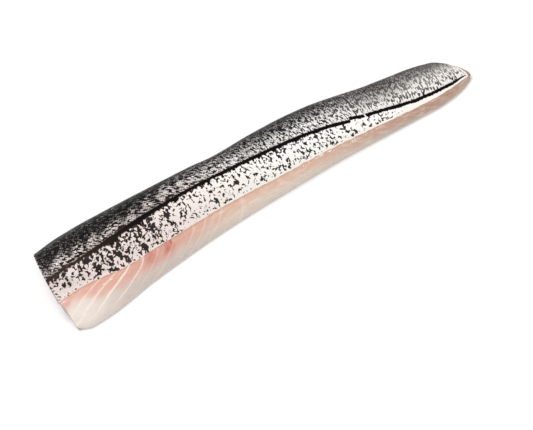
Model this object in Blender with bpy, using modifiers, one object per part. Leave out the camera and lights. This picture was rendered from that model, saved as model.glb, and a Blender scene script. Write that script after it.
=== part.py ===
"""Haddock fillet lying skin side up: a slab of white flesh under its thin silver skin.

The fillet lies along X, with its head end at -X and its tail at +X. The back of the fish is at +Y
and its belly at -Y. The flat cut side rests on z = 0, and the origin is under the middle of its box.

Two closed solids make it. The flesh has a flat underside, a long bevelled cut down its belly side
and a straight slanting knife cut at the head end. The skin is a shell over the crown and the back.
"""

import math

import bmesh
import bpy
from mathutils import Matrix, Vector

MM = 0.001

# Driving dimensions
LENGTH = 340 * MM               # overall, from the top of the head cut to the tip of the tail
SKIN_THICKNESS = 1.0 * MM
SKIN_CLEARANCE = 0.3 * MM       # left between the skin and the flesh under it
FOOT_HEIGHT = 1.2 * MM          # height of the rounded lower edge, where the skin stops
FOOT_INSET = 1.0 * MM           # how far inside that edge the flat underside begins
BEVEL_SWELL = 0.8 * MM          # how far the bevelled cut swells out of a flat face

# Head cut: a slanting plane that leans out over the board and turns a little across the fillet
HEAD_OVERHANG = math.radians(12)
HEAD_TURN = math.radians(4.5)
HEAD_LEAN_OUT = 2.6 * MM        # how far the top of the cut leans out past the start of the outlines
HEAD_FADE = 70 * MM             # length over which the lean of the cut dies out
BELLY_STEP = 2.2 * MM           # the bevelled flesh is cut this much shorter than the skin
BELLY_STEP_POWER = 12           # how suddenly that step comes under the skin's edge

# Tail: the outline is a quarter of a superellipse on each side of the tip, cut straighter at the back
TIP_ACROSS = 5 * MM             # where the tip lies, measured across like the outlines below
TIP_BELLY_REACH = 42 * MM       # how far from the tip the belly side starts to round
TIP_BELLY_POWER = 2
TIP_BACK_REACH = 19.5 * MM
TIP_BACK_POWER = 1.5
TIP_CORNER = 0.8                # share of the half width where a side edge passes into the end
TIP_BOW_START = 0.8             # share of the length from which the stations curve with the tip
TIP_SLOPE_LENGTH = 24 * MM      # length over which the tail rounds down to its rim
TIP_RIM = 0.35                  # share of its height left at that rim
TIP_BARE = 3.6 * MM             # the skin stops this far short of the rim

# Outlines from above, as (share of the length, millimetres across) from the head end to the tail
BELLY_FOOT = ((0.00, -29.5), (0.03, -31.6), (0.09, -29.5), (0.17, -23.5), (0.34, -15.2), (0.50, -10.8),
              (0.65, -8.2), (0.90, -7.8), (0.95, -7.4), (1.00, -7))
SKIN_EDGE = ((0.00, -11.8), (0.03, -9.5), (0.06, -9.2), (0.09, -9.9), (0.13, -11.4), (0.20, -9.4),
             (0.36, -4.7), (0.50, -3.6), (0.62, -2.3), (0.85, -2.8), (0.94, -1.4), (1.00, 2.4))
CROWN = ((0.00, 9), (0.20, 13), (0.50, 16), (0.65, 17), (0.85, 13), (1.00, 10))
BACK_FOOT = ((0.00, 34), (0.05, 37), (0.11, 38.4), (0.25, 39.4), (0.36, 39.7), (0.41, 38.8), (0.50, 41.4),
             (0.58, 42.4), (0.66, 41.3), (0.78, 35.6), (0.90, 32.4), (0.95, 29.8), (1.00, 27))

# Heights, as (share of the length, millimetres above the board)
EDGE_HEIGHT = ((0.00, 11.5), (0.15, 12.5), (0.40, 11.5), (0.60, 10), (0.85, 6.5), (1.00, 5))
CROWN_HEIGHT = ((0.00, 17.5), (0.06, 19.3), (0.15, 20.3), (0.35, 19.5), (0.60, 17.5), (0.80, 12),
                (0.92, 8.4), (1.00, 5.8))

FLANK_ROUNDNESS = 2.2           # power of the superellipse from the crown down to the back foot

# Mesh
ROWS = 56                       # along the skin; the flesh has one more, its bare rim at the tail
TAIL_CROWDING = 0.7             # how much closer the rows come towards the tail
BEVEL_COLUMNS = 5
CROWN_COLUMNS = 7               # from the skin's edge up to the crown
FLANK_COLUMNS = 10              # from the crown down to the back foot
DOME_COLUMNS = CROWN_COLUMNS + FLANK_COLUMNS
SMOOTH_BELOW = math.radians(35)
NORMAL_STEP = 0.002             # step along and over the skin that its normal is measured with

# Finish
FLESH_COLOUR = (0.76, 0.60, 0.50)
FLESH_ROUGHNESS = 0.35
SKIN_COLOUR = (0.38, 0.35, 0.33)
SKIN_ROUGHNESS = 0.3

OUTLINE_LENGTH = LENGTH - HEAD_LEAN_OUT


def slope_at(curve, i):
    """Slope of a curve of pairs at its point i, from its neighbours."""
    before = curve[max(i - 1, 0)]
    after = curve[min(i + 1, len(curve) - 1)]
    return (after[1] - before[1]) / (after[0] - before[0])


def along(curve, share):
    """Read a curve of (share, millimetres) pairs smoothly at a share, in metres."""
    i = 0
    while i < len(curve) - 2 and curve[i + 1][0] < share:
        i += 1
    (x0, y0), (x1, y1) = curve[i], curve[i + 1]
    step = x1 - x0
    t = (share - x0) / step
    start = (2 * t**3 - 3 * t**2 + 1) * y0 + (t**3 - 2 * t**2 + t) * step * slope_at(curve, i)
    end = (3 * t**2 - 2 * t**3) * y1 + (t**3 - t**2) * step * slope_at(curve, i + 1)
    return (start + end) * MM


def row_share(row):
    """Share of the length at a row; rows crowd together towards the tail."""
    if row > ROWS:
        return 1.0
    share = row / ROWS
    crowded = share + TAIL_CROWDING * share * (1 - share)
    return crowded * (1 - TIP_BARE / OUTLINE_LENGTH)


def tip_side(share, across):
    """Reach and power of the tip's curve, and the foot, on the side of the tip that a point is on."""
    if across < TIP_ACROSS:
        return TIP_BELLY_REACH, TIP_BELLY_POWER, along(BELLY_FOOT, share)
    return TIP_BACK_REACH, TIP_BACK_POWER, along(BACK_FOOT, share)


def quarter(part, power):
    """The other coordinate of a unit superellipse, for a part of its radius."""
    return (1 - part**power) ** (1 / power)


def on_plan(share, across):
    """Bend a straight station round the tip: returns the distance from the head and the place across."""
    reach, power, foot = tip_side(share, across)
    bow = reach * max(0.0, (share - TIP_BOW_START) / (1 - TIP_BOW_START)) ** 2
    from_tip = TIP_CORNER * (across - TIP_ACROSS) / (foot - TIP_ACROSS)
    distance = share * OUTLINE_LENGTH - bow * (1 - quarter(from_tip, power))
    edge_distance = share * OUTLINE_LENGTH - bow * (1 - quarter(TIP_CORNER, power))
    into_tip = max(0.0, (edge_distance - OUTLINE_LENGTH + reach) / reach)
    return distance, TIP_ACROSS + (across - TIP_ACROSS) * quarter(into_tip, power)


def tail_height(share):
    """Share of its height that the tail keeps as it rounds down to its rim."""
    from_rim = (1 - share) * OUTLINE_LENGTH / TIP_SLOPE_LENGTH
    if from_rim >= 1:
        return 1.0
    return TIP_RIM + (1 - TIP_RIM) * math.sqrt(1 - (1 - from_rim) ** 2)


def head_cut(across, height):
    """How far the plane of the head cut lies from the station at the head end."""
    return across * math.tan(HEAD_TURN) - height * math.tan(HEAD_OVERHANG)


def place(share, across, height):
    """A point of the fillet from its share of the length, its place across and its height."""
    distance, narrowed = on_plan(share, across)
    fade = max(0.0, 1 - distance / HEAD_FADE) ** 2
    return Vector((distance + head_cut(narrowed, height) * fade, narrowed, height))


def dome(share, turn):
    """The outer face of the skin: turn runs from 0 at its cut edge, over the crown, to 1 at the back."""
    edge_height = along(EDGE_HEIGHT, share)
    crown_height = along(CROWN_HEIGHT, share)
    crown = along(CROWN, share)
    at_crown = CROWN_COLUMNS / DOME_COLUMNS
    if turn <= at_crown:
        down = 1 - turn / at_crown
        across = crown + (along(SKIN_EDGE, share) - crown) * down
        height = crown_height + (edge_height - crown_height) * down**2
    else:
        angle = min(1.0, (turn - at_crown) / (1 - at_crown)) * math.pi / 2
        power = 2 / FLANK_ROUNDNESS
        across = crown + (along(BACK_FOOT, share) - crown) * math.sin(angle) ** power
        height = FOOT_HEIGHT + (crown_height - FOOT_HEIGHT) * max(0.0, math.cos(angle)) ** power
    return place(share, across, FOOT_HEIGHT + (height - FOOT_HEIGHT) * tail_height(share))


def under_skin(share, turn):
    """The face of the flesh that the skin covers, a skin's thickness and the clearance down."""
    ahead = dome(min(1.0, share + NORMAL_STEP), turn) - dome(max(0.0, share - NORMAL_STEP), turn)
    over = dome(share, min(1.0, turn + NORMAL_STEP)) - dome(share, max(0.0, turn - NORMAL_STEP))
    outward = ahead.cross(over).normalized()
    return dome(share, turn) - outward * (SKIN_THICKNESS + SKIN_CLEARANCE)


def bevel(share, up):
    """The long bevelled cut: up runs from 0 at its foot on the belly side to 1 at the skin's edge."""
    foot = place(share, along(BELLY_FOOT, share), FOOT_HEIGHT)
    top = under_skin(share, 0)
    rise = top - foot
    outward = Vector((0, -rise.z, rise.y)).normalized()
    return foot.lerp(top, up) + outward * BEVEL_SWELL * 4 * up * (1 - up)


def at_head(point):
    """A point of the end row put on the plane of the head cut, stepped back below the bevel."""
    foot = along(BELLY_FOOT, 0)
    inward = min(1.0, max(0.0, (point.y - foot) / (along(SKIN_EDGE, 0) - foot)))
    point.x = head_cut(point.y, point.z) + BELLY_STEP * (1 - inward**BELLY_STEP_POWER)
    return point


def flesh_top(row, column):
    """A point on the upper face of the flesh."""
    share = row_share(row)
    if column < BEVEL_COLUMNS:
        point = bevel(share, column / BEVEL_COLUMNS)
    else:
        point = under_skin(share, (column - BEVEL_COLUMNS) / DOME_COLUMNS)
    return at_head(point) if row == 0 else point


def flesh_underside(row, column):
    """A point on the flat cut side, inside the rounded lower edge."""
    share = row_share(row) * (1 - FOOT_INSET / OUTLINE_LENGTH)
    belly = along(BELLY_FOOT, share) + FOOT_INSET
    back = along(BACK_FOOT, share) - SKIN_THICKNESS - SKIN_CLEARANCE - FOOT_INSET
    across = belly + (back - belly) * column / (BEVEL_COLUMNS + DOME_COLUMNS)
    point = place(share, across, 0)
    return at_head(point) if row == 0 else point


def grid_place(vert, rows, columns):
    """Row and column of a vertex of a fresh unit grid."""
    return round((vert.co.x + 0.5) * rows), round((vert.co.y + 0.5) * columns)


def make_flesh():
    """A grid extruded into a slab, with its upper and lower faces put on the fillet's."""
    rows = ROWS + 1
    columns = BEVEL_COLUMNS + DOME_COLUMNS
    shape = bmesh.new()
    bmesh.ops.create_grid(shape, x_segments=rows, y_segments=columns, size=0.5)
    upper = list(shape.verts)
    extruded = bmesh.ops.extrude_face_region(shape, geom=list(shape.faces), use_keep_orig=True)
    lower = [item for item in extruded["geom"] if isinstance(item, bmesh.types.BMVert)]
    for vert in upper:
        vert.co = flesh_top(*grid_place(vert, rows, columns))
    for vert in lower:
        vert.co = flesh_underside(*grid_place(vert, rows, columns))
    bmesh.ops.recalc_face_normals(shape, faces=shape.faces)
    return shape


def make_skin():
    """An open grid on the outer face of the skin, which Solidify thickens inwards."""
    shape = bmesh.new()
    bmesh.ops.create_grid(shape, x_segments=ROWS, y_segments=DOME_COLUMNS, size=0.5)
    for vert in shape.verts:
        row, column = grid_place(vert, ROWS, DOME_COLUMNS)
        vert.co = dome(row_share(row), column / DOME_COLUMNS)
    return shape


def add_part(name, shape, collection):
    """Make a named, smooth-shaded object of a bmesh, and free the bmesh."""
    mesh = bpy.data.meshes.new(name)
    shape.to_mesh(mesh)
    shape.free()
    mesh.shade_smooth()
    mesh.set_sharp_from_angle(angle=SMOOTH_BELOW)
    part = bpy.data.objects.new(name, mesh)
    collection.objects.link(part)
    return part


def thicken(part, thickness):
    """Give an open surface its thickness, all of it on the inner side."""
    shell = part.modifiers.new("Thickness", "SOLIDIFY")
    shell.thickness = thickness
    shell.offset = -1


def add_material(part, name, colour, roughness):
    """Give a part its own Principled material."""
    material = bpy.data.materials.new(name)
    material.use_nodes = True
    shader = material.node_tree.nodes["Principled BSDF"]
    shader.inputs["Base Color"].default_value = (*colour, 1)
    shader.inputs["Roughness"].default_value = roughness
    shader.inputs["Metallic"].default_value = 0
    part.data.materials.append(material)


def centre_on_board(parts):
    """Move the meshes so that the origin lies on the board under the middle of their box."""
    corners = [vert.co for part in parts for vert in part.data.vertices]
    middle_x = (min(c.x for c in corners) + max(c.x for c in corners)) / 2
    middle_y = (min(c.y for c in corners) + max(c.y for c in corners)) / 2
    for part in parts:
        part.data.transform(Matrix.Translation((-middle_x, -middle_y, 0)))


def main():
    for old in list(bpy.data.objects):
        bpy.data.objects.remove(old, do_unlink=True)
    fillet = bpy.data.collections.new("haddock_fillet")
    bpy.context.scene.collection.children.link(fillet)

    flesh = add_part("flesh", make_flesh(), fillet)
    add_material(flesh, "raw white flesh", FLESH_COLOUR, FLESH_ROUGHNESS)

    skin = add_part("skin", make_skin(), fillet)
    thicken(skin, SKIN_THICKNESS)
    add_material(skin, "flecked silver skin", SKIN_COLOUR, SKIN_ROUGHNESS)

    centre_on_board([flesh, skin])


main()
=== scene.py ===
# %% [markdown]
# # A haddock fillet, skin side up
# A raw fillet lies on a white board: a long slab of pale flesh, cut flat underneath, bevelled along the
# belly and cut off straight at the head end, with its thin skin still on. The skin goes from charcoal on the
# back to silver white on the belly, and a black lateral line runs all along it.
#
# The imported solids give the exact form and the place. This script lays a fine mesh over that same form,
# stores a few smooth measures on its vertices, and lets the materials draw what is finer than the mesh.

# %% Load the frame
import bisect
import functools
import math
from statistics import NormalDist

import bmesh
import bpy
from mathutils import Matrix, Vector, noise


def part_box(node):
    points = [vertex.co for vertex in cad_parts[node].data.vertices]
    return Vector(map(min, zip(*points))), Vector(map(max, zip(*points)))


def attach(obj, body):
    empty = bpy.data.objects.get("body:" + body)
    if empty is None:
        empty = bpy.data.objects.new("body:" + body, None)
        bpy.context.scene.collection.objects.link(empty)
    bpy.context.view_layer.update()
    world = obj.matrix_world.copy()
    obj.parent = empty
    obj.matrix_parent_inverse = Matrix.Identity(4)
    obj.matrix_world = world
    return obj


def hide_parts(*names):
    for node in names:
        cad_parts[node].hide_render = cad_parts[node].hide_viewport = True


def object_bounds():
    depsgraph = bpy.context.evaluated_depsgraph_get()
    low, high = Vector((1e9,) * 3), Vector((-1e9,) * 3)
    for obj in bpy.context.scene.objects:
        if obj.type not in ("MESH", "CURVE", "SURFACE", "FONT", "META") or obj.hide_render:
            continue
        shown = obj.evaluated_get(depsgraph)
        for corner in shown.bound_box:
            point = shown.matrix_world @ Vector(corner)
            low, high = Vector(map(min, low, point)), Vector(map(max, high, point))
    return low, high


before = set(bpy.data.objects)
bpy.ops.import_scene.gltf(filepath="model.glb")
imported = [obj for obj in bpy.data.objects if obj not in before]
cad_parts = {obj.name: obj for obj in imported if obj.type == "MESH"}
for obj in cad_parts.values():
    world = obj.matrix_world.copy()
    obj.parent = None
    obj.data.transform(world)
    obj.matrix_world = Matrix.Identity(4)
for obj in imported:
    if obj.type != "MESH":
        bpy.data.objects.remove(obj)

CAD_BOX = [list(corner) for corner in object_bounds()]
MM = 0.001
print("solids:", sorted(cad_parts), "box", CAD_BOX)

# %% [markdown]
# ## Camera
# The photograph looks down steeply at the belly side, from a little towards the head end. The angles come
# from laying the solids' outline over the photograph's. A long lens keeps the slab from tapering too much.

# %% Place the camera
LENS = 85
SENSOR_WIDTH = 36
VIEW_AZIMUTH = math.radians(-32.97)
VIEW_ELEVATION = math.radians(55)
VIEW_DISTANCE = 0.8386
VIEW_TARGET = Vector((-0.0197, -0.024, 0))


def add_object(name, data, location=(0, 0, 0), facing=None):
    """Put a new object in the scene, turned so that it faces along a direction."""
    made = bpy.data.objects.new(name, data)
    made.location = location
    if facing:
        made.rotation_euler = facing.to_track_quat("-Z", "Y").to_euler()
    bpy.context.scene.collection.objects.link(made)
    return made


towards_camera = Vector((
    math.sin(VIEW_AZIMUTH) * math.cos(VIEW_ELEVATION),
    -math.cos(VIEW_AZIMUTH) * math.cos(VIEW_ELEVATION),
    math.sin(VIEW_ELEVATION),
))
optics = bpy.data.cameras.new("camera")
optics.lens = LENS
optics.sensor_width = SENSOR_WIDTH
camera = add_object("camera", optics, VIEW_TARGET + towards_camera * VIEW_DISTANCE, -towards_camera)
bpy.context.scene.camera = camera
print("camera at", [round(value, 3) for value in camera.location])

# %% [markdown]
# ## The fillet's outlines
# Seen from above, the fillet has four long lines: the foot of the bevelled cut on the belly side, the free
# edge of the skin, the crown, and the foot of the back. Each is a short list of (share of the length,
# millimetres across), read as one smooth curve. Two more lists hold the heights of the skin's edge and the
# crown. The same lists shaped the solids, so the fine mesh lands exactly on them.

# %% Outlines and heights
LENGTH = 340 * MM
HEAD_LEAN_OUT = 2.6 * MM  # how far the top of the head cut leans out past the outlines' start
SPAN = LENGTH - HEAD_LEAN_OUT
FOOT_HEIGHT = 1.2 * MM  # height of the rounded lower edge, where the skin stops
FOOT_INSET = 1.0 * MM  # how far inside that edge the flat underside begins

BELLY_FOOT = ((0, -29.5), (0.03, -31.6), (0.09, -29.5), (0.17, -23.5), (0.34, -15.2), (0.5, -10.8),
              (0.65, -8.2), (0.9, -7.8), (0.95, -7.4), (1, -7))
SKIN_EDGE = ((0, -11.8), (0.03, -9.5), (0.06, -9.2), (0.09, -9.9), (0.13, -11.4), (0.2, -9.4),
             (0.36, -4.7), (0.5, -3.6), (0.62, -2.3), (0.85, -2.8), (0.94, -1.4), (1, 2.4))
CROWN = ((0, 9), (0.2, 13), (0.5, 16), (0.65, 17), (0.85, 13), (1, 10))
BACK_FOOT = ((0, 34), (0.05, 37), (0.11, 38.4), (0.25, 39.4), (0.36, 39.7), (0.41, 38.8), (0.5, 41.4),
             (0.58, 42.4), (0.66, 41.3), (0.78, 35.6), (0.9, 32.4), (0.95, 29.8), (1, 27))
EDGE_HEIGHT = ((0, 11.5), (0.15, 12.5), (0.4, 11.5), (0.6, 10), (0.85, 6.5), (1, 5))
CROWN_HEIGHT = ((0, 17.5), (0.06, 19.3), (0.15, 20.3), (0.35, 19.5), (0.6, 17.5), (0.8, 12),
                (0.92, 8.4), (1, 5.8))


def slope_at(curve, i):
    """Slope of a curve of pairs at its point i, from its neighbours."""
    before = curve[max(i - 1, 0)]
    after = curve[min(i + 1, len(curve) - 1)]
    return (after[1] - before[1]) / (after[0] - before[0])


@functools.cache
def read(curve, share):
    """Read a curve of pairs smoothly at a share of the length."""
    i = 0
    while i < len(curve) - 2 and curve[i + 1][0] < share:
        i += 1
    (x0, y0), (x1, y1) = curve[i], curve[i + 1]
    step = x1 - x0
    t = (share - x0) / step
    start = (2 * t**3 - 3 * t**2 + 1) * y0 + (t**3 - 2 * t**2 + t) * step * slope_at(curve, i)
    end = (3 * t**2 - 2 * t**3) * y1 + (t**3 - t**2) * step * slope_at(curve, i + 1)
    return start + end


def along(curve, share):
    """The same in metres, for a curve in millimetres."""
    return read(curve, share) * MM


print("width at the middle:", round(read(BACK_FOOT, 0.5) - read(BELLY_FOOT, 0.5), 1), "mm")

# %% [markdown]
# ## Head cut and tail
# The head end is one straight knife cut. It leans out over the board and turns a little across the fillet,
# and the lean dies out over the first 70 mm. The tail is rounder: each side of its tip is a quarter of a
# superellipse, cut straighter at the back. Straight stations are bent round the tip, so the mesh rows follow
# the rim.

# %% Place a point on the plan
HEAD_OVERHANG = math.radians(12)
HEAD_TURN = math.radians(4.5)
HEAD_FADE = 70 * MM
BELLY_STEP = 2.2 * MM  # the bevelled flesh is cut this much shorter than the skin
BELLY_STEP_POWER = 12
TIP_ACROSS = 5 * MM  # where the tip lies, measured across like the outlines
TIP_BELLY_REACH = 42 * MM
TIP_BELLY_POWER = 2
TIP_BACK_REACH = 19.5 * MM
TIP_BACK_POWER = 1.5
TIP_CORNER = 0.8  # share of the half width where a side edge passes into the end
TIP_BOW_START = 0.8
TIP_SLOPE_LENGTH = 24 * MM
TIP_RIM = 0.35  # share of its height left at the rim
TIP_BARE = 3.6 * MM  # the skin stops this far short of the rim


def tip_side(share, across):
    """Reach and power of the tip's curve, and the foot, on a point's side of the tip."""
    if across < TIP_ACROSS:
        return TIP_BELLY_REACH, TIP_BELLY_POWER, along(BELLY_FOOT, share)
    return TIP_BACK_REACH, TIP_BACK_POWER, along(BACK_FOOT, share)


def quarter(part, power):
    """The other coordinate of a unit superellipse, for a part of its radius."""
    return (1 - part**power) ** (1 / power)


def on_plan(share, across):
    """Bend a straight station round the tip: returns the distance from the head and the place across."""
    reach, power, foot = tip_side(share, across)
    bow = reach * max(0.0, (share - TIP_BOW_START) / (1 - TIP_BOW_START)) ** 2
    from_tip = TIP_CORNER * (across - TIP_ACROSS) / (foot - TIP_ACROSS)
    distance = share * SPAN - bow * (1 - quarter(from_tip, power))
    edge_distance = share * SPAN - bow * (1 - quarter(TIP_CORNER, power))
    into_tip = max(0.0, (edge_distance - SPAN + reach) / reach)
    return distance, TIP_ACROSS + (across - TIP_ACROSS) * quarter(into_tip, power)


def tail_height(share):
    """Share of its height that the tail keeps as it rounds down to its rim."""
    from_rim = (1 - share) * SPAN / TIP_SLOPE_LENGTH
    if from_rim >= 1:
        return 1.0
    return TIP_RIM + (1 - TIP_RIM) * math.sqrt(1 - (1 - from_rim) ** 2)


def head_cut(across, height):
    """How far the plane of the head cut lies from the station at the head end."""
    return across * math.tan(HEAD_TURN) - height * math.tan(HEAD_OVERHANG)


def place(share, across, height):
    """A point of the fillet from its share of the length, its place across and its height."""
    distance, narrowed = on_plan(share, across)
    fade = max(0.0, 1 - distance / HEAD_FADE) ** 2
    return Vector((distance + head_cut(narrowed, height) * fade, narrowed, height))


print("tip of the tail at", [round(value / MM, 1) for value in place(1, TIP_ACROSS, 0)], "mm")

# %% [markdown]
# ## The domed skin face and the bevelled cut
# Across the fillet, the outer face of the skin rises in a parabola from its free edge to the crown, and
# drops in a superellipse to the foot of the back. One number, the turn, runs over it from 0 to 1. The
# bevelled cut goes from the belly foot up to the skin's edge, and swells a little, as cut muscle does.

# %% Dome and bevel
AT_CROWN = 7 / 17  # the turn at which the dome reaches its crown
FLANK_ROUNDNESS = 2.2
BEVEL_SWELL = 0.8 * MM
SKIN_THICKNESS = 0.55 * MM  # half of the solid's, as real skin is thin
SKIN_SEAT = 0.5 * MM  # depth of the flesh under the skin's outer face, so that no gap shows
CORNER_ROUND = 3.5 * MM  # radius of the flesh's corner between the head cut and the bevel
HEAD_SQUEEZE = 16 * MM  # the first part of the flesh takes up what the end is set back
NORMAL_STEP = 0.002


def dome(share, turn):
    """The outer face of the skin: turn runs from 0 at its cut edge, over the crown, to 1 at the back."""
    edge_height = along(EDGE_HEIGHT, share)
    crown_height = along(CROWN_HEIGHT, share)
    crown = along(CROWN, share)
    if turn <= AT_CROWN:
        down = 1 - turn / AT_CROWN
        across = crown + (along(SKIN_EDGE, share) - crown) * down
        height = crown_height + (edge_height - crown_height) * down**2
    else:
        angle = min(1.0, (turn - AT_CROWN) / (1 - AT_CROWN)) * math.pi / 2
        power = 2 / FLANK_ROUNDNESS
        across = crown + (along(BACK_FOOT, share) - crown) * math.sin(angle) ** power
        height = FOOT_HEIGHT + (crown_height - FOOT_HEIGHT) * max(0.0, math.cos(angle)) ** power
    return place(share, across, FOOT_HEIGHT + (height - FOOT_HEIGHT) * tail_height(share))


def dome_normal(share, turn):
    """Which way the dome faces at a point."""
    ahead = dome(min(1.0, share + NORMAL_STEP), turn) - dome(max(0.0, share - NORMAL_STEP), turn)
    over = dome(share, min(1.0, turn + NORMAL_STEP)) - dome(share, max(0.0, turn - NORMAL_STEP))
    return ahead.cross(over).normalized()


@functools.cache
def bevel_ends(share):
    """Foot, top and outward direction of the bevelled cut at a station."""
    foot = place(share, along(BELLY_FOOT, share), FOOT_HEIGHT)
    top = dome(share, 0) - dome_normal(share, 0) * SKIN_SEAT
    rise = top - foot
    return foot, top, Vector((0, -rise.z, rise.y)).normalized()


def at_head(point, share):
    """Set a point of the flesh back near the head, with a rounded corner."""
    if share == 0:
        point.x = head_cut(point.y, point.z)
    foot = along(BELLY_FOOT, share)
    from_foot = max(0.0, point.y - foot)
    inward = min(1.0, from_foot / (along(SKIN_EDGE, share) - foot))
    from_centre = CORNER_ROUND - min(CORNER_ROUND, from_foot)
    corner = CORNER_ROUND - math.sqrt(CORNER_ROUND**2 - from_centre**2)
    squeeze = max(0.0, 1 - share * SPAN / HEAD_SQUEEZE) ** 2
    point.x += (BELLY_STEP * (1 - inward**BELLY_STEP_POWER) + corner) * squeeze
    return point


# The solids' origin lies under the middle of their box, so every mesh moves by one offset, read off the
# packed skin: its lowest x is the top of the head cut, and its highest y is the foot of the back.
skin_low, skin_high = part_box("skin")
TO_FRAME = Vector((
    skin_low[0] - min(dome(0, step / 100).x for step in range(101)),
    skin_high[1] - max(dome(step / 400, 1).y for step in range(401)),
    0,
))
print("offset to the frame:", [round(value / MM, 2) for value in TO_FRAME], "mm")

# %% [markdown]
# ## From a flat grid to a slab
# Both pieces start as a unit grid that is extruded once, which gives an upper face, a lower face and a
# closed wall between them. While the grid is still flat, each vertex tells its row and column by its place,
# so a function of both can put it where it belongs. Values for the materials are stored on the vertices
# too. A material can't work out how far it is to the lateral line, but it can read it there.

# %% Slab helpers
def make_slab(rows, columns, names):
    """A unit grid extruded into a slab with named values, and each vertex's side, row and column."""
    slab = bmesh.new()
    layers = {name: slab.verts.layers.float.new(name) for name in names}
    bmesh.ops.create_grid(slab, x_segments=rows, y_segments=columns, size=0.5)
    upper = list(slab.verts)
    extruded = bmesh.ops.extrude_face_region(slab, geom=list(slab.faces), use_keep_orig=True)
    lower = [item for item in extruded["geom"] if isinstance(item, bmesh.types.BMVert)]
    places = [(vert, side, round((vert.co.x + 0.5) * rows), round((vert.co.y + 0.5) * columns))
              for side, verts in enumerate((upper, lower)) for vert in verts]
    return slab, layers, places


def paint(vert, layers, values):
    """Store named values on a vertex."""
    for name, value in values.items():
        vert[layers[name]] = value


def round_rim(slab, side, limit, radius):
    """Round the knife edge round the upper face, which the side layer tells from the wall."""
    rim = [edge for edge in slab.edges if all(abs(vert[side]) <= limit for vert in edge.verts)
           and any(abs(vert[side]) > limit for face in edge.link_faces for vert in face.verts)]
    bmesh.ops.bevel(slab, geom=rim, offset=radius, offset_type="OFFSET", segments=3, profile=0.5,
                    affect="EDGES", material=-1, clamp_overlap=True)


def ease(value, low, high):
    """A smooth step from 0 at low to 1 at high."""
    t = min(1.0, max(0.0, (value - low) / (high - low)))
    return t * t * (3 - 2 * t)


def bump(value, middle, reach):
    """A smooth hill of height 1."""
    return math.exp(-(((value - middle) / reach) ** 2))


def mesh_of(name, shape):
    """Turn a bmesh into a mesh."""
    mesh = bpy.data.meshes.new(name)
    shape.to_mesh(mesh)
    shape.free()
    return mesh


def finish_piece(name, slab, material, node):
    """Turn a bmesh into the object that stands for a node of the frame."""
    bmesh.ops.recalc_face_normals(slab, faces=slab.faces)
    mesh = mesh_of(name, slab)
    for vert in mesh.vertices:
        vert.co += TO_FRAME
        vert.co.x = min(CAD_BOX[1][0], max(CAD_BOX[0][0], vert.co.x))
    mesh.shade_smooth()
    mesh.materials.append(material)
    piece = add_object(name, mesh)
    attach(piece, "root")
    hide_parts(node)
    print(name, "has", sum(len(face.vertices) - 2 for face in mesh.polygons), "triangles")


print("slab helpers ready")

# %% [markdown]
# ## Where the skin's tones lie
# Fish skin is countershaded: dark above, pale below, so that the fish vanishes against both the sea bed and
# the surface. On a haddock the border follows the black lateral line, so every tone is measured from that
# line. Each curve here says how one tone changes along the fillet.

# %% Tones along the skin
LATERAL_LINE = ((0, 0.312), (0.09, 0.325), (0.2, 0.377), (0.3, 0.413), (0.42, 0.402), (0.54, 0.357),
                (0.66, 0.268), (0.78, 0.179), (0.84, 0.125), (0.9, 0.105), (1, 0.094))  # as a turn
LINE_REACH = ((0, 0.9), (0.06, 0.8), (0.11, 1.5), (0.2, 1.8), (0.28, 1.35), (0.5, 1.4),
              (0.68, 1.35), (0.8, 1.35), (0.9, 1.3), (0.96, 1), (0.984, 0.2), (0.99, -0.8),
              (1, -0.8))  # mm to each side
BELLY_SHADE = ((0, 0.92), (0.12, 0.91), (0.2, 0.91), (0.29, 0.94), (0.38, 0.96), (0.5, 0.98),
               (0.6, 1), (1, 1))
BACK_TOP_SHADE = ((0, 0.76), (0.12, 0.78), (0.2, 0.72), (0.29, 0.76), (0.38, 0.81), (0.46, 0.81),
                  (0.54, 0.86), (0.62, 0.89), (0.72, 0.9), (1, 0.93))  # just above the line
BACK_DARK_SHADE = ((0, 0.24), (0.3, 0.23), (0.38, 0.27), (0.46, 0.27), (0.62, 0.27), (0.72, 0.33),
                   (1, 0.38))  # high on the back
BACK_BORDER = ((0, 8.5), (0.12, 8.6), (0.21, 8.5), (0.29, 12.5), (0.46, 12.5), (0.54, 12.8),
               (0.62, 15.8), (0.79, 14.5), (0.88, 18.8), (0.95, 17), (1, 16))  # mm above the line, half dark
BACK_BLEND = ((0, 6), (0.12, 6), (0.21, 6), (0.29, 9), (0.46, 8.5), (0.54, 10), (0.62, 9), (0.72, 12),
              (0.79, 12), (0.88, 10), (1, 8))
FLECKS_BELOW = ((0, 0.28), (0.05, 0.33), (0.1, 0.46), (0.2, 0.46), (0.28, 0.29), (0.4, 0.28),
                (0.52, 0.29), (0.62, 0.34), (0.7, 0.28), (0.79, 0.18), (0.84, 0.03), (1, 0.001))
FLECKS_ABOVE = ((0, 0.44), (0.12, 0.48), (0.2, 0.5), (0.3, 0.46), (0.45, 0.42), (0.6, 0.4),
                (0.75, 0.36), (0.9, 0.35), (1, 0.33))
INK_BELOW = 0.972  # how dark the flecks are
INK_ABOVE = ((0, 1), (0.5, 0.98), (0.62, 0.95), (0.78, 0.8), (1, 0.7))
STROKE_SLANT = ((0, 0.65), (0.14, 0.7), (0.21, 1), (0.35, 1), (0.49, 0.65), (0.63, 0.25),
                (0.77, 0), (0.9, -0.25), (1, -0.25))
STROKE_STRETCH = ((0, 0.9), (0.14, 0.85), (0.3, 0.7), (0.6, 0.52), (0.8, 0.45), (1, 0.45))  # 1 is round
FINER_TO = 0.17 * SPAN  # the scales get smaller from here to the head
FINER_FROM = 0.66 * SPAN  # and from here to the tail
FINER_RATE = 2.0
BAND_REACH = 2.6 * MM
PIGMENT_BANDS = (29, 38, 47, 62, 73, 86, 97)  # mm from the head, below the line
SCALLOP_LENGTH = 13.5 * MM  # pale scallops above the line near the head, one for each muscle block
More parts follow.
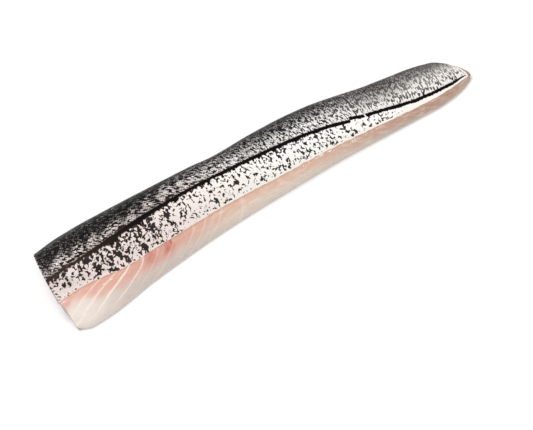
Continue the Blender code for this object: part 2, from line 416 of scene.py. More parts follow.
SCALLOP_LEAN = 0.6
HUG_ABOVE = 1.8 * MM  # near the head the pigment thickens where it meets the line
HUG_REACH = 2.4 * MM
NOISE_SPREAD = 0.125  # standard deviation of the noise that draws the flecks


def pigment_band(distance):
    """How strongly a place lies on a dark band below the line near the head."""
    return max(bump(distance, band * MM, BAND_REACH) for band in PIGMENT_BANDS)


def scallop(distance, above):
    """1 in the middle of a pale scallop above the line and 0 between two of them."""
    wander = 6 * MM * noise.noise(Vector((distance / (16 * MM), above / (8 * MM), 5.5)))
    return abs(math.sin(math.pi * (distance - SCALLOP_LEAN * above + wander) / SCALLOP_LENGTH))


def skin_tones(share, above, edge):
    """Brightness of the ground, and how much of it the dark flecks cover."""
    near_head = 1 - ease(share, 0.26, 0.36)
    border, blend = along(BACK_BORDER, share), along(BACK_BLEND, share)
    border *= 1 + near_head * (0.7 * scallop(share * SPAN, above) - 0.45)
    blend *= 1 - 0.25 * near_head
    top = read(BACK_TOP_SHADE, share)
    back = top + (read(BACK_DARK_SHADE, share) - top) * ease(above, border - blend, border + blend)
    belly = read(BELLY_SHADE, share)
    shade = belly + (back - belly) * ease(above, -0.5 * MM, 1.5 * MM)
    hugging = near_head * bump(above, HUG_ABOVE, HUG_REACH)
    shade -= 0.14 * hugging
    banded = 0.9 * pigment_band(share * SPAN) - 0.32
    below = read(FLECKS_BELOW, share) * (1 + near_head * banded)
    below += near_head * (0.16 * ease(above, -16 * MM, -5 * MM) - 0.03)
    pale = near_head * (1 - ease(above, border - blend, border + blend))
    near_tail = ease(share, 0.62, 0.75)
    over = read(FLECKS_ABOVE, share) * (1 - 0.45 * near_tail * (1 - ease(above, 2 * MM, 6 * MM)))
    over += 0.12 * ease(above, (4 - 2 * near_tail) * MM, (14 - 5 * near_tail) * MM)
    over = over * (1 - 0.3 * pale) + 0.25 * hugging
    bare = (0.9 + 1.0 * ease(share, 0.2, 0.4)) * MM
    cover = (below + (over - below) * ease(above, -1 * MM, 1 * MM)) * ease(edge, bare - 1.3 * MM, bare)
    return shade, min(0.75, max(0.0005, cover))


def fleck_level(cover):
    """The value that the noise exceeds on this share of a surface."""
    return 0.5 + NOISE_SPREAD * NormalDist().inv_cdf(1 - cover)


print("the back turns charcoal", read(BACK_BORDER, 0.5), "mm above the line at the middle")

# %% [markdown]
# ## The skin
# The skin is a sheet about half a millimetre thick. Its upper face is laid on the dome and then pulled in
# by a fine relief: the lateral line lies in a shallow furrow, the muscle blocks underneath show as faint
# waves, and the free edge is a little ragged and rolls over. Relief only goes inwards, so the fillet keeps
# its size.

# %% Relief of the skin
SKIN_ROWS = 430
SKIN_COLUMNS = 80
FURROW_DEPTH = 0.15 * MM
FURROW_REACH = 1.4 * MM
WAVE_DEPTH = 0.2 * MM
WAVE_LENGTH = 13 * MM
EDGE_ROLL = 1.6 * MM  # the skin rolls down over this width at its free edge
EDGE_DROP = 0.12 * MM
RAGGED_DEPTH = 0.01  # as a turn, about half a millimetre
RAGGED_LENGTH = 5 * MM


def ragged_edge(share):
    """How far the knife left the skin's free edge short of its outline, as a turn."""
    distance = share * SPAN / RAGGED_LENGTH
    coarse = noise.noise(Vector((distance, 3.1, 0)))
    fine = noise.noise(Vector((distance * 3, 7.7, 0)))
    return RAGGED_DEPTH * min(1.0, max(0.0, 0.35 + 0.9 * coarse + 0.5 * fine))


def skin_relief(point, above, edge):
    """Depth of the relief below the smooth dome."""
    furrow = FURROW_DEPTH * bump(above, 0, FURROW_REACH)
    slanted = Vector((point.x - abs(above) * 0.6, point.y * 0.35, 0)) / WAVE_LENGTH
    wave = WAVE_DEPTH * (0.5 + 0.5 * noise.noise(slanted))
    roll = EDGE_DROP * (1 - ease(edge, 0, EDGE_ROLL))
    return furrow + wave + roll


@functools.cache
def skin_row(row):
    """A row of the skin: share, turns, points, their distances from the free edge, and the line's."""
    share = row / SKIN_ROWS * (1 - TIP_BARE / SPAN)
    first = ragged_edge(share)
    turns = [first + (1 - first) * column / SKIN_COLUMNS for column in range(SKIN_COLUMNS + 1)]
    points = [dome(share, turn) for turn in turns]
    reached = [0.0]
    for before, after in zip(points, points[1:]):
        reached.append(reached[-1] + (after - before).length)
    place_of_line = (read(LATERAL_LINE, share) - first) / (1 - first) * SKIN_COLUMNS
    column = int(place_of_line)
    line = reached[column] + (reached[column + 1] - reached[column]) * (place_of_line - column)
    return share, turns, points, reached, line


print("edge of the skin is ragged by up to", round(RAGGED_DEPTH * skin_row(200)[3][-1] / MM, 2), "mm")

# %% Model the skin
RIM_ROUND = 0.3 * MM
TAIL_EDGE_RATE = 3  # the cream rim is this much narrower at the tail
SKIN_VALUES = ("along", "above", "strokes", "rise", "edge", "shade", "level", "ink", "reach", "inside")


def skin_values(share, above, edge):
    """What the skin's material reads at a vertex."""
    shade, cover = skin_tones(share, above, edge)
    distance = share * SPAN
    slant = read(STROKE_SLANT, share)
    finer = FINER_RATE * (max(0.0, distance - FINER_FROM) ** 2 - max(0.0, FINER_TO - distance) ** 2)
    return {
        "along": distance,
        "above": above,
        "strokes": (distance + finer + slant * above) / math.hypot(1, slant),
        "rise": above * read(STROKE_STRETCH, share),
        "edge": edge,
        "shade": shade,
        "level": fleck_level(cover),
        "ink": INK_BELOW + (read(INK_ABOVE, share) - INK_BELOW) * ease(above, 1 * MM, 9 * MM),
        "reach": along(LINE_REACH, share),
    }


def make_skin():
    """The skin as a slab, its upper face on the dome and its lower face a thickness in."""
    slab, layers, places = make_slab(SKIN_ROWS, SKIN_COLUMNS, SKIN_VALUES)
    for vert, side, row, column in places:
        share, turns, points, reached, line = skin_row(row)
        point = points[column]
        above = reached[column] - line
        edge = min(reached[column], TAIL_EDGE_RATE * (1 - row / SKIN_ROWS) * SPAN)
        depth = SKIN_THICKNESS if side else skin_relief(point, above, edge)
        vert.co = point - dome_normal(share, turns[column]) * depth
        paint(vert, layers, {**skin_values(share, above, edge), "inside": side})
    round_rim(slab, layers["inside"], 0.5, RIM_ROUND)
    return slab


skin_slab = make_skin()
print("the skin has", len(skin_slab.faces), "faces")

# %% [markdown]
# ## The flesh
# White fish muscle is built of thin blocks like stacked cones, with a sheet of white connective tissue
# between each two. The bevelled cut slices them at a slant, so the sheets show as thin pale lines that run
# forward and down from the skin's edge. Each place gets a septum number, which is whole on a line, so the
# mesh can swell between the lines and the material can draw them.

# %% Muscle blocks
SEPTA = (-0.12, -0.07, -0.02, 0.018, 0.052, 0.087, 0.115, 0.142, 0.172, 0.205, 0.241, 0.29, 0.318, 0.357)
SEPTA_STEP = 0.045  # spacing further back, as a share of the length
SEPTA_BEHIND = 20
SEPTA_LIST = SEPTA + tuple(SEPTA[-1] + SEPTA_STEP * (k + 1) for k in range(SEPTA_BEHIND))
SEPTA_REACH = ((0, 0.165), (0.087, 0.162), (0.115, 0.142), (0.142, 0.13), (0.172, 0.12), (0.205, 0.085),
               (0.25, 0.07), (0.32, 0.06), (0.38, 0.045), (0.43, -0.02), (0.5, -0.045), (1, -0.05))
SEPTA_CURVE = ((0, 0.95), (0.087, 0.95), (0.115, 1.03), (0.142, 1.17), (0.172, 1.75), (0.28, 1.6),
               (1, 1.5))
SEPTA_ROUNDS = 12  # steps that settle which line a place belongs to
SEPTA_SHOW = ((0, 0), (0.052, 0.08), (0.087, 0.65), (0.115, 0.75), (0.142, 1.15), (0.172, 0.85),
              (0.205, 0.28), (0.241, 0.28), (0.36, 0.35), (0.45, 0.2), (1, 0.12))  # how each line shows


@functools.cache
def septum(share, up):
    """Septum number of a place on the bevel, the distance between the lines beside it, and how they show."""
    layer = share
    for _ in range(SEPTA_ROUNDS):
        near = min(1, layer)
        slid = share + read(SEPTA_REACH, near) * (1 - up) ** read(SEPTA_CURVE, near)
        layer = (layer + slid) / 2
    i = min(len(SEPTA_LIST) - 2, max(0, bisect.bisect_right(SEPTA_LIST, layer) - 1))
    spacing = SEPTA_LIST[i + 1] - SEPTA_LIST[i]
    show = read(SEPTA_SHOW, min(1, max(0, layer)))
    return i + (layer - SEPTA_LIST[i]) / spacing, spacing * SPAN, show


print("first lines cross the skin's edge at", [round(e * SPAN / MM) for e in SEPTA[3:8]], "mm")

# %% [markdown]
# ## Pink, blood and torn bits
# Right under the skin lies a band of darker muscle, pink on a fresh fillet. It is a narrow edge near the
# head, but takes the whole cut near the tail. One place is redder, where a little blood is left. Near the
# head and past the middle, the knife tore the soft band, and small wet lumps stand out below the skin.

# %% Tones and relief of the bevel
PINK_DEPTH = ((0, 4.5), (0.035, 5.5), (0.07, 9.8), (0.12, 8.8), (0.2, 9), (0.31, 7.2), (0.43, 5.5),
              (0.55, 5.8), (0.67, 6.2), (0.8, 5), (0.9, 5.5), (1, 8))  # mm below the skin's edge
PINK_BLEND = 6.5 * MM
BLOOD_SPOTS = ((0.187, 3.5, 0.014, 4, 0.62), (0.224, 3.5, 0.014, 4.2, 0.75), (0.235, 1.6, 0.006, 2.6, 1))
TORN_BITS = ((0.028, 1.2, 2.2, 1.1), (0.052, 3.6, 3.6, 0.7), (0.086, 4.2, 3, 0.7), (0.1, 3.2, 4, 0.7),
             (0.545, 1, 0.8, 1.6), (0.552, 1.2, 0.8, 1.8), (0.559, 0.9, 0.7, 1.5), (0.566, 0.8, 0.8, 1.6),
             (0.543, 4.2, 3.5, 0.6), (0.553, 3.4, 4.5, 0.6), (0.585, 0.9, 3, 0.8), (0.597, 0.7, 5, 1),
             (0.619, 0.8, 4, 1), (0.628, 1.8, 1.6, 0.8), (0.65, 1.3, 0.8, 0.8), (0.655, 1.4, 0.8, 0.9),
             (0.661, 1.1, 0.8, 0.8), (0.673, 1.6, 0.8, 2.6), (0.679, 1.4, 0.8, 2.2), (0.701, 1.2, 0.8, 0.9),
             (0.706, 1.6, 0.9, 1), (0.711, 0.9, 0.8, 0.8), (0.723, 1, 0.8, 0.8), (0.735, 1, 0.8, 0.7),
             (0.77, 0.8, 0.8, 0.7))  # share of the length, then mm below the edge, along it, and down
TORN_LIMIT = 7 * MM
TORN_HEIGHT = 0.4 * MM
BLOCK_SWELL = 0.22 * MM
LUMP_HEIGHT = 0.15 * MM
LUMP_SIZE = 5 * MM
NUB = (0.008, 1.5 * MM)  # the small nub at the head corner of the skin's edge
NUB_REACH = (0.008, 2.2 * MM)
NUB_HEIGHT = 1.0 * MM


def flesh_tones(share, below):
    """Pinkness and blood at a distance below the skin's edge."""
    depth = along(PINK_DEPTH, share)
    pink = 1 - ease(below, depth - PINK_BLEND, depth + PINK_BLEND)
    blood = max(strength * bump(share, middle, long) * bump(below, depth * MM, deep * MM)
                for middle, depth, long, deep, strength in BLOOD_SPOTS)
    return pink, blood


def torn_bit(share, below):
    """How much a place belongs to one of the small torn bits under the skin's edge."""
    if not 0 < below < TORN_LIMIT:
        return 0.0
    distance = share * SPAN
    return max(bump(distance, middle * SPAN, long * MM / 2) * bump(below, depth * MM, down * MM / 2)
               for middle, depth, long, down in TORN_BITS)


def bevel_relief(share, below, number, wide):
    """Height of the relief on the bevel: swelling muscle blocks, soft lumps, torn bits and the nub."""
    part = abs(number - round(number)) * 2
    swell = BLOCK_SWELL * (math.sqrt(part) - 1) * read(SEPTA_SHOW, share)
    at = Vector((share * SPAN, below * 2, 0))
    lumps = LUMP_HEIGHT * noise.noise(at / LUMP_SIZE)
    torn = TORN_HEIGHT * torn_bit(share, below)
    nub = NUB_HEIGHT * bump(share, NUB[0], NUB_REACH[0]) * bump(below, NUB[1], NUB_REACH[1])
    return (swell + lumps + torn) * ease(wide - below, 0, 1.5 * MM) * ease(below, 0, 1 * MM) + nub


print("blood spots", [round(spot[0] * SPAN / MM) for spot in BLOOD_SPOTS], "mm from the head")

# %% Model the flesh
FLESH_ROWS = 520
BEVEL_COLUMNS = 32
COVERED_COLUMNS = 26
END_CUTS = 16
FLESH_VALUES = ("along", "below", "foot", "number", "spacing", "show", "pink", "blood", "torn", "under",
                "end")
END_DIP = 0.5 * MM
END_DIP_SIZE = 4 * MM


def flesh_share(row):
    """Share of the length at a row of the flesh, denser round the tip."""
    t = row / FLESH_ROWS
    return t + 0.25 * t * t * (1 - t)


def flesh_top(share, column):
    """A point on the upper face of the flesh, with its distances below the skin's edge and above the foot."""
    foot, top, outward = bevel_ends(share)
    wide = (top - foot).length
    if column >= BEVEL_COLUMNS:
        turn = (column - BEVEL_COLUMNS) / COVERED_COLUMNS
        return dome(share, turn) - dome_normal(share, turn) * SKIN_SEAT, 0.0, wide
    up = column / BEVEL_COLUMNS
    below = (1 - up) * wide
    number = septum(share, up)[0]
    height = BEVEL_SWELL * 4 * up * (1 - up) + bevel_relief(share, below, number, wide)
    return foot.lerp(top, up) + outward * height, below, wide - below


def flesh_underside(share, column):
    """A point on the flat cut side, inside the rounded lower edge."""
    inner = share * (1 - FOOT_INSET / SPAN)
    belly = along(BELLY_FOOT, inner) + FOOT_INSET
    back = along(BACK_FOOT, inner) - SKIN_SEAT - FOOT_INSET
    across = belly + (back - belly) * column / (BEVEL_COLUMNS + COVERED_COLUMNS)
    return place(inner, across, 0)


def cut_end_face(slab, layers):
    """Split the tall end face at the head into rows, and give it a faint relief."""
    uprights = [edge for edge in slab.edges
                if all(vert[layers["end"]] > 0.5 for vert in edge.verts)
                and abs(edge.verts[0][layers["under"]] - edge.verts[1][layers["under"]]) > 0.5]
    bmesh.ops.subdivide_edges(slab, edges=uprights, cuts=END_CUTS, use_grid_fill=True)
    for vert in slab.verts:
        under = vert[layers["under"]]
        if 0 < under < 1 and vert[layers["end"]] > 0.5:
            dip = 0.5 + 0.5 * noise.noise(Vector((vert.co.y * 0.7, vert.co.z, 0)) / END_DIP_SIZE)
            vert.co.x += END_DIP * dip * math.sin(math.pi * under)


def make_flesh():
    """The flesh as a slab: the bevel and the covered dome on top, the flat cut side below."""
    slab, layers, places = make_slab(FLESH_ROWS, BEVEL_COLUMNS + COVERED_COLUMNS, FLESH_VALUES)
    for vert, under, row, column in places:
        share = flesh_share(row)
        point, below, above_foot = flesh_top(share, column)
        if under:
            point = flesh_underside(share, column)
        vert.co = at_head(point, share)
        number, spacing, show = septum(share, min(1.0, column / BEVEL_COLUMNS))
        pink, blood = flesh_tones(share, below)
        paint(vert, layers, {
            "along": share * SPAN, "below": below, "foot": above_foot, "number": number,
            "spacing": spacing, "show": show, "pink": pink, "blood": blood, "torn": torn_bit(share, below),
            "under": under, "end": float(row == 0),
        })
    cut_end_face(slab, layers)
    round_rim(slab, layers["under"], 0.01, RIM_ROUND)
    return slab


flesh_slab = make_flesh()
print("the flesh has", len(flesh_slab.faces), "faces")

# %% [markdown]
# ## Small helpers for the materials
# A material is a tree of nodes. A wire stands for one output socket. It adds, subtracts, multiplies and
# divides like a number by placing Math nodes, so the recipes read like sums. Colours are given as the 0 to
# 255 values of a screen, and are turned into the linear values that Blender works with.

# %% Node helpers
def tone(red, green, blue):
    """A screen colour as the linear colour that a socket takes."""
    linear = [((value / 255 + 0.055) / 1.055) ** 2.4 for value in (red, green, blue)]
    return (*linear, 1)


class Wire:
    """An output socket that can be reckoned with like a number."""

    def __init__(self, socket):
        self.socket = socket
        self.tree = socket.id_data

    __add__ = __radd__ = lambda self, other: maths("ADD", self, other)
    __mul__ = __rmul__ = lambda self, other: maths("MULTIPLY", self, other)
    __sub__ = lambda self, other: maths("SUBTRACT", self, other)
    __rsub__ = lambda self, other: maths("SUBTRACT", other, self)
    __truediv__ = lambda self, other: maths("DIVIDE", self, other)
    __rtruediv__ = lambda self, other: maths("DIVIDE", other, self)


def feed(node, inputs):
    """Give a node's inputs plain values or wires."""
    for name, value in inputs.items():
        if isinstance(value, Wire):
            value.tree.links.new(value.socket, node.inputs[name])
        else:
            node.inputs[name].default_value = value


def place_node(tree, kind, inputs, **settings):
    """Add a node, set it up and feed it."""
    node = tree.nodes.new(kind)
    for name, value in settings.items():
        setattr(node, name, value)
    feed(node, inputs)
    return node


def add_node(tree, kind, output, inputs, **settings):
    """The same, handing back the wire of one output."""
    return Wire(place_node(tree, kind, inputs, **settings).outputs[output])


def stored(tree, *names):
    """Values stored on the vertices."""
    return [add_node(tree, "ShaderNodeAttribute", "Fac", {}, attribute_name=name) for name in names]


def position(tree):
    """The place on the piece."""
    return add_node(tree, "ShaderNodeTexCoord", "Object", {})


def maths(operation, *values):
    """One sum of wires and numbers."""
    tree = next(value.tree for value in values if isinstance(value, Wire))
    return add_node(tree, "ShaderNodeMath", 0, dict(enumerate(values)), operation=operation)


def ramp(value, low, high):
    """A smooth step from 0 at low to 1 at high, or from 1 to 0 if low is the higher one."""
    inputs = {"Value": value, "From Min": low, "From Max": high}
    return add_node(value.tree, "ShaderNodeMapRange", "Result", inputs, interpolation_type="SMOOTHSTEP")


def lay_over(colour, *layers):
    """Lay tints over a colour in turn, each with its own mask."""
    for mask, tint in layers:
        colour = add_node(mask.tree, "ShaderNodeMix", 2, {0: mask, 6: colour, 7: tint}, data_type="RGBA")
    return colour


def join(x, y=0.0):
    """A flat vector from two values."""
    return add_node(x.tree, "ShaderNodeCombineXYZ", 0, {"X": x, "Y": y})


def cloud(vector, size, detail=1.0, distortion=0.0):
    """Soft noise, with its largest features about as big as the size."""
    inputs = {"Vector": vector, "Scale": 1 / size, "Detail": detail, "Distortion": distortion}
    return add_node(vector.tree, "ShaderNodeTexNoise", "Fac", inputs)


def new_material(name):
    """A new material, its tree and its shader."""
    material = bpy.data.materials.new(name)
    material.use_nodes = True
    return material, material.node_tree, material.node_tree.nodes["Principled BSDF"]


print("a middle grey of 128 is", round(tone(128, 128, 128)[0], 3), "to the socket")

# %% [markdown]
# ## Moisture
# Skin and flesh are both wet, but not evenly: a film pools in places and has drawn off in others. Both
# materials need this, each in its own strength, so it is a node group, built once. It gives a roughness
# that wanders between two values, and a height for the bump of the film.

# %% Moisture group
FILM_INPUTS = ("Wet Roughness", "Dry Roughness", "Film Size", "Grain")
GRAINS_PER_FILM = 7  # how much finer the grain is than the film


def make_moisture():
    """Roughness and height of an uneven wet film."""
    group = bpy.data.node_groups.new("moisture", "ShaderNodeTree")
    for way, names in (("INPUT", FILM_INPUTS), ("OUTPUT", ("Roughness", "Height"))):
        for name in names:
            group.interface.new_socket(name, in_out=way, socket_type="NodeSocketFloat")
    given = place_node(group, "NodeGroupInput", {}).outputs
    wet, dry, size, strength = [Wire(given[name]) for name in FILM_INPUTS]
    film = cloud(position(group), size, 3.0)
    grain = cloud(position(group), size / GRAINS_PER_FILM, 2.0)
    roughness = (dry - wet) * ramp(film, 0.38, 0.66) + wet
    place_node(group, "NodeGroupOutput", {"Roughness": roughness, "Height": grain * strength + film})
    return group


def moisten(shader, values, film_height, strength, relief=0.0):
    """Give a shader the film's roughness, and a bump from the film and the piece's own relief."""
    tree = shader.id_data
    film = place_node(tree, "ShaderNodeGroup", values, node_tree=MOISTURE).outputs
    height = Wire(film["Height"]) * film_height + relief
    pushed = {"Height": height, "Distance": 1.0, "Strength": strength}
    normal = add_node(tree, "ShaderNodeBump", "Normal", pushed)
    feed(shader, {"Roughness": Wire(film["Roughness"]), "Normal": normal})


MOISTURE = make_moisture()
print("moisture group takes", [item.name for item in MOISTURE.interface.items_tree if item.in_out == "INPUT"])

# %% [markdown]
# ## Skin material
# The colour is built like the skin itself: a silver ground, charcoal laid over the back, dark pigment
# flecks, and the lateral line on top. The flecks are noise cut off at a level. The level is stored on the
# mesh, and sets how much they cover. Below the line they are dots that gather in clusters and winding
# strings. Above it they are strokes between the scales. The strokes lean towards the head, most of all at
# about a quarter of the length, and are finer at both ends. The scales are two crossing sets of rows.
# Towards the tail the silver is warmer and the pigment browner.

# %% Skin colours
SILVER = tone(255, 252, 247)
ROSY_SILVER = tone(255, 240, 234)
COOL_SILVER = tone(252, 251, 247)
TAIL_SILVER = tone(255, 250, 245)
RIM_CREAM = tone(255, 249, 238)
RIM_PINK = tone(252, 233, 225)
# painted shade: the skin's first millimetre at the head cut is greyed
CUT_EDGE_SHADE_GREY = tone(176, 170, 170)
CHARCOAL = tone(8, 9, 8)
FLECK = tone(11, 7, 6)
BROWN_FLECK = tone(38, 20, 17)
TAIL_FLECK = tone(58, 44, 37)
LINE_BLACK = tone(10, 6, 5)
LINE_UMBER = tone(50, 37, 29)
LINE_BROWN = tone(96, 78, 66)
BROWN_TINT = tone(140, 116, 98)
FLECK_SIZE = 2.05 * MM
STRING_SIZE = 5 * MM  # flecks gather along winding strings about this far apart
CLUSTER_SIZE = 8 * MM
STROKE_SIZE = 1.5 * MM
SCALE_LENGTH = 2.1 * MM  # the scales lie in two crossing sets of rows
SCALE_SLOPE = 0.9
LINE_STEP = 0.691 * SPAN  # the line is a little out of step here
LINE_GAP = 0.726 * SPAN  # and broken here
DARKEST_SHADE = 0.08
SHADE_POWER = 2.2  # turns a shade as the eye sees it into light


def scale_lattice(tree):
    """The scales: 0.75 in the middle of each, down to -0.25 on the borders between them."""
    distance, above = stored(tree, "along", "above")
    wandering = distance + (cloud(join(distance, above), 5 * MM) - 0.5) * (2.5 * MM)
    rows, crossing = [maths("PINGPONG", (wandering + above * slope) / SCALE_LENGTH, 0.5)
                      for slope in (SCALE_SLOPE, -SCALE_SLOPE)]
    return rows * crossing * 4.0 - 0.25


def fleck_mask(tree):
    """Dark pigment: dots below the line, slanted rows of strokes above it."""
    distance, above, level, ink = stored(tree, "along", "above", "level", "ink")
    where = join(distance, above)
    clusters = cloud(where, CLUSTER_SIZE) - 0.5
    winding = maths("ABSOLUTE", cloud(where, STRING_SIZE, 1.0, 0.8) - 0.5)
    dots = cloud(join(distance, above * 0.8), FLECK_SIZE, 1.0, 0.6) + clusters * 0.25
    dots = dots - 0.035 + ramp(winding, 0.06, 0.0) * 0.13
    strokes = cloud(join(*stored(tree, "strokes", "rise")), STROKE_SIZE, 0.6, 0.5) + clusters * 0.2
    strokes = strokes - scale_lattice(tree) * 0.06
    pattern = dots + (strokes - dots) * ramp(above, -1 * MM, 2 * MM)
    return ramp(pattern - level, -0.025, 0.015) * ink


def line_mask(tree, blur):
    """The lateral line: smooth on its upper side, with short whiskers on its lower side."""
    distance, above, reach = stored(tree, "along", "above", "reach")
    wander = cloud(join(distance), 12 * MM) - 0.5
    side = 0.5 - ramp(distance, LINE_STEP - 0.2 * MM, LINE_STEP + 0.2 * MM)
    step = side * ramp(maths("ABSOLUTE", distance - LINE_STEP), 12 * MM, 0.0)
    centred = above + wander * (1.2 * MM) + step * (1.6 * MM)
    hanging = ramp(cloud(join(distance, centred * 0.25), 2.2 * MM), 0.47, 0.7) * (2.6 * MM)
    hanging = hanging * ramp(distance, 0.66 * LENGTH, 0.5 * LENGTH)
    rough = cloud(join(distance, centred), 1.5 * MM) - 0.5
    reach = reach + wander * (0.9 * MM) + rough * (1.5 * MM)
    outside = maths("MAXIMUM", centred - reach, -1.0 * centred - (reach + hanging))
    unbroken = ramp(maths("ABSOLUTE", distance - LINE_GAP), 0.1 * MM, 0.9 * MM)
    return ramp(outside, blur, -blur) * unbroken


print("flecks about", FLECK_SIZE / MM, "mm, strokes", STROKE_SIZE / MM, "mm")


# %% Skin material
def skin_ground(tree):
    """Silver belly and charcoal back, rosy and brownish at the head, warmer at the tail, pale rim, and
    painted shade greying the skin's edge at the head cut.
    """
    distance, above, strokes, shade, edge = stored(tree, "along", "above", "strokes", "shade", "edge")
    share = distance / LENGTH
    patches = cloud(join(distance, above), 8 * MM, 3.0)
    rows = cloud(join(strokes, above * 0.5), 1.2 * MM, 1.0, 0.6)
    on_back = ramp(above, -1 * MM, 3 * MM) * 2.7
    calmer = ramp(share, 1.1, 0.6)
    unevenness = on_back * calmer * ((shade + 0.2) * (1.0 - shade)) + 0.08
    uneven = (patches - 0.5) * 0.5 + scale_lattice(tree) * 0.35 + (rows - 0.5) * 0.9
    light = maths("POWER", maths("MAXIMUM", shade + uneven * unevenness, DARKEST_SHADE), SHADE_POWER)
    silver = lay_over(
        SILVER,
        (ramp(distance, 190 * MM, 60 * MM), ROSY_SILVER),
        (ramp(above, 8 * MM, 17 * MM) * ramp(share, 0.8, 0.45), COOL_SILVER),
        (ramp(share, 0.6, 0.92), TAIL_SILVER),
    )
    brown = ramp(distance, 45 * MM, 0.0) * ramp(above, 4 * MM, -2 * MM) * 0.3
    rim = lay_over(RIM_PINK, (ramp(share, 0.25, 0.4), RIM_CREAM))
    return lay_over(
        CHARCOAL,
        (light, silver),
        (brown * ramp(patches, 0.4, 0.65), BROWN_TINT),
        (ramp(edge, 4.5 * MM, -0.5 * MM), rim),
        # painted shade: grey on the skin's edge along the head cut
        (ramp(distance, 1.0 * MM, 0.3 * MM), CUT_EDGE_SHADE_GREY),
    )


def make_skin_material():
    """Flecked silver fish skin."""
    material, tree, shader = new_material("flecked_silver_skin")
    distance, above, shade, inside = stored(tree, "along", "above", "shade", "inside")
    share = distance / LENGTH
    flecks = fleck_mask(tree)
    line = line_mask(tree, 0.25 * MM)
    brown = ramp(cloud(join(distance, above), 5 * MM), 0.42, 0.62) * ramp(above, 3 * MM, -1 * MM)
    to_tail = ramp(share, 0.55, 0.92) * ramp(above, 2 * MM, 9 * MM)
    near_head = ramp(share, 0.22, 0.02)
    colour = lay_over(
        skin_ground(tree),
        (flecks, lay_over(FLECK, (brown, BROWN_FLECK), (to_tail, TAIL_FLECK))),
        (line_mask(tree, 1.2 * MM) * ramp(distance, 0.3, 0.0), LINE_BROWN),
        (line, lay_over(LINE_BLACK, (near_head, LINE_UMBER))),
        (ramp(inside, 0.1, 0.5), RIM_CREAM),
    )
    bare = ramp(maths("MAXIMUM", flecks, line), 0.5, 0.0) * 0.15
    feed(shader, {"Base Color": colour, "Coat Weight": bare * ramp(shade, 0.3, 0.8),
                  "Specular IOR Level": 0.05, "Coat Roughness": 0.22})
    film = {"Wet Roughness": 0.34, "Dry Roughness": 0.5, "Film Size": 7 * MM, "Grain": 0.25}
    moisten(shader, film, 0.08 * MM, 0.6, scale_lattice(tree) * (0.05 * MM))
    return material


finish_piece("silver_skin", skin_slab, make_skin_material(), "skin")

# %% [markdown]
# ## Flesh material
# Raw white fish is translucent: light goes in, scatters, and comes out a little further on, which softens
# its shadows and lets the red show through. Subsurface scattering does that. The colour is laid on in
# layers: pale flesh, a pink band under the skin that turns browner towards the tail, pale fibres, painted
# shade that greys the foot, a peach painted shadow right under the skin's edge, blood, paler cream and a
# painted glint on the torn bits, and the white lines between the muscle blocks. The cut side underneath is
# creamier, and the head cut shows the blocks as faint rings, darkened all over by painted shade.

# %% Flesh material
PALE_FLESH = tone(238, 226, 217)
DULL_FLESH = tone(218, 203, 194)
WARM_FLESH = tone(235, 218, 201)
TAIL_FLESH = tone(190, 164, 146)
PINK_FLESH = tone(226, 174, 156)
PEACH_FLESH = tone(230, 190, 168)
BROWN_PINK = tone(180, 140, 121)
BLOOD = tone(196, 88, 72)
SEPTUM_WHITE = tone(255, 240, 228)
# painted shadow: the darker peach line right under the skin's edge
EDGE_SHADOW_PEACH = tone(222, 158, 132)
# painted shade: greyer flesh in the last few millimetres above the foot
FOOT_SHADE_GREY = tone(204, 196, 186)
# painted shade: the head cut's grey and pink are darker than the flesh
END_SHADE_GREY = tone(168, 158, 152)
END_PINK = tone(190, 146, 132)
END_LINE = tone(206, 196, 188)
END_CENTRE = (0, 6 * MM, 1 * MM)  # the rings on the head cut lie round this place
END_SPREAD = (1000, 2.2, 1)  # they are wider than high, and don't change with the depth
END_RING = 3.4 * MM
# partly the paler torn tissue, partly a painted glint on the torn bits
TORN_GLINT_CREAM = tone(255, 240, 222)
TIP_BROWN = tone(152, 126, 114)
CREAM_CUT = tone(246, 230, 208)
SEPTUM_WIDTH = 0.55 * MM


def septum_lines(tree):
    """The thin white lines between muscle blocks."""
    number, spacing, below, show = stored(tree, "number", "spacing", "below", "show")
    wobble = cloud(position(tree), 6 * MM, 2.0)
    near = maths("PINGPONG", number + (wobble - 0.5) * 0.16, 0.5) * spacing
    width = wobble * (2.4 * SEPTUM_WIDTH) + 0.2 * SEPTUM_WIDTH
    return ramp(near - width, 0.55 * MM, -0.35 * MM) * ramp(below, 24 * MM, 12 * MM) * show


def painted_shade_end_colour(tree):
    """The head cut, where the muscle blocks show as rings, pink under the skin, all darkened as painted
    shade.
    """
    where = position(tree)
    flattened = {"Vector": where, "Location": END_CENTRE, "Scale": END_SPREAD}
    from_centre = add_node(tree, "ShaderNodeMapping", 0, flattened, vector_type="TEXTURE")
    radius = add_node(tree, "ShaderNodeVectorMath", "Value", {0: from_centre}, operation="LENGTH")
    ring = radius / END_RING + cloud(where, 9 * MM, 2.0) * 2.6
    line = ramp(maths("PINGPONG", ring, 0.5), 0.16, 0.0)
    pink = ramp(*stored(tree, "under"), 0.35, 0.02)
    return lay_over(END_SHADE_GREY, (pink, END_PINK), (line * 0.5, END_LINE))


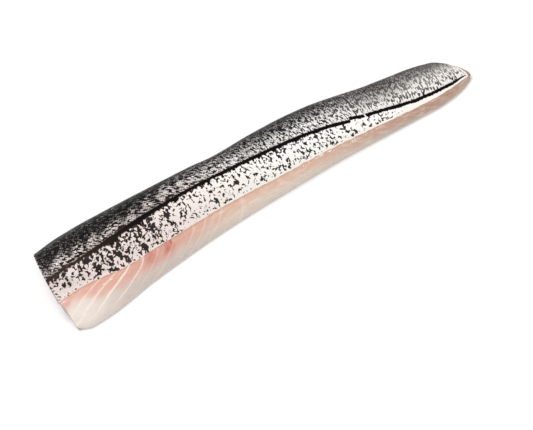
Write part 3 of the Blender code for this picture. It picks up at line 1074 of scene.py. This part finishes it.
def flesh_colour(tree):
    """The cut flesh, from the pink band under the skin to the cream underside."""
    distance, below, number, pink = stored(tree, "along", "below", "number", "pink")
    foot, blood, torn, under, end = stored(tree, "foot", "blood", "torn", "under", "end")
    share = distance / LENGTH
    clouds = cloud(join(distance, below * 1.6), 11 * MM, 3.0)
    streaks = cloud(join(number, below * 60), 0.35, 3.0)
    past_head = ramp(share, 0.02, 0.12)
    to_middle = ramp(share, 0.22, 0.42)
    to_tail = ramp(share, 0.5, 0.9)
    band = lay_over(PINK_FLESH, (to_middle, PEACH_FLESH), (to_tail, BROWN_PINK))
    fibres = ramp(cloud(join(distance * 0.16, below), 1.5 * MM, 2.0, 0.4), 0.5, 0.72)
    at_tip = ramp(share, 0.95, 0.975) * ramp(below, 2 * MM, 0.0)
    seeping = ramp(clouds, 0.3, 0.6) * 0.3 + 0.6
    return lay_over(
        PALE_FLESH,
        (past_head, DULL_FLESH),
        (to_middle, WARM_FLESH),
        (to_tail, TAIL_FLESH),
        (ramp(pink + (clouds - 0.5) * 0.7, 0.0, 1.0), band),
        (fibres * to_middle * 0.4, SEPTUM_WHITE),
        # painted shade: the foot of the bevel is greyed
        (ramp(foot, 6 * MM, 0.0) * (0.5 - to_tail * 0.35), FOOT_SHADE_GREY),
        # painted shadow: a darker peach line right under the skin's edge
        (ramp(below, 1.6 * MM, 0.3 * MM) * (0.5 - to_tail * 0.4), EDGE_SHADOW_PEACH),
        (at_tip * 0.7, TIP_BROWN),
        (blood * seeping, BLOOD),
        # painted glint: the torn bits lightened to cream, partly paler tissue
        (ramp(torn * ramp(streaks, 0.25, 0.6), 0.15, 0.75), TORN_GLINT_CREAM),
        (ramp(streaks, 0.45, 0.75) * 0.18, SEPTUM_WHITE),
        (septum_lines(tree) * 0.75, SEPTUM_WHITE),
        (ramp(under, 0.2, 0.9), CREAM_CUT),
        # painted shade: the head cut face in darkened tones
        (ramp(end, 0.3, 0.9), painted_shade_end_colour(tree)),
    )


def make_flesh_material():
    """Moist, faintly translucent raw fish."""
    material, tree, shader = new_material("raw_white_flesh")
    feed(shader, {"Base Color": flesh_colour(tree), "Subsurface Weight": 0.3,
                  "Subsurface Radius": (1.0, 0.45, 0.3), "Subsurface Scale": 2.5 * MM,
                  "Coat Weight": 0.3, "Coat Roughness": 0.1})
    film = {"Wet Roughness": 0.18, "Dry Roughness": 0.42, "Film Size": 5 * MM, "Grain": 0.4}
    moisten(shader, film, 0.16 * MM, 0.7)
    return material


finish_piece("flesh_slab", flesh_slab, make_flesh_material(), "flesh")

# %% [markdown]
# ## Board and light
# The light in the photograph is soft and even, so the key light is a large soft box behind the fillet's
# back, a little to the left, and the rest is an even white sky. The "Standard" view keeps white at white.

# %% Floor and lights
FLOOR_HALF = 3.0
FLOOR_WHITE = 0.96
SKY_LEVEL = 0.78
KEY_WATTS = 19
KEY_SIZE = 0.9
KEY_FROM = Vector((-0.45, 1.05, 1.55))

sheet = bmesh.new()
bmesh.ops.create_grid(sheet, x_segments=1, y_segments=1, size=FLOOR_HALF)
floor = add_object("board", mesh_of("board", sheet))
board_white, _, board_shader = new_material("white_board")
board_tone = (FLOOR_WHITE, FLOOR_WHITE, FLOOR_WHITE, 1)
feed(board_shader, {"Base Color": board_tone, "Roughness": 0.8, "Specular IOR Level": 0.1})
floor.data.materials.append(board_white)

lamp = bpy.data.lights.new("key", "AREA")
lamp.shape = "SQUARE"
lamp.size = KEY_SIZE
lamp.energy = KEY_WATTS
add_object("key", lamp, KEY_FROM, -KEY_FROM)
world = bpy.data.worlds.new("even sky")
world.use_nodes = True
feed(world.node_tree.nodes["Background"], {"Color": (1, 1, 1, 1), "Strength": SKY_LEVEL})
bpy.context.scene.world = world
bpy.context.scene.view_settings.view_transform = "Standard"
bpy.context.scene.view_settings.look = "None"
print("key light", round(KEY_FROM.length, 2), "m away")
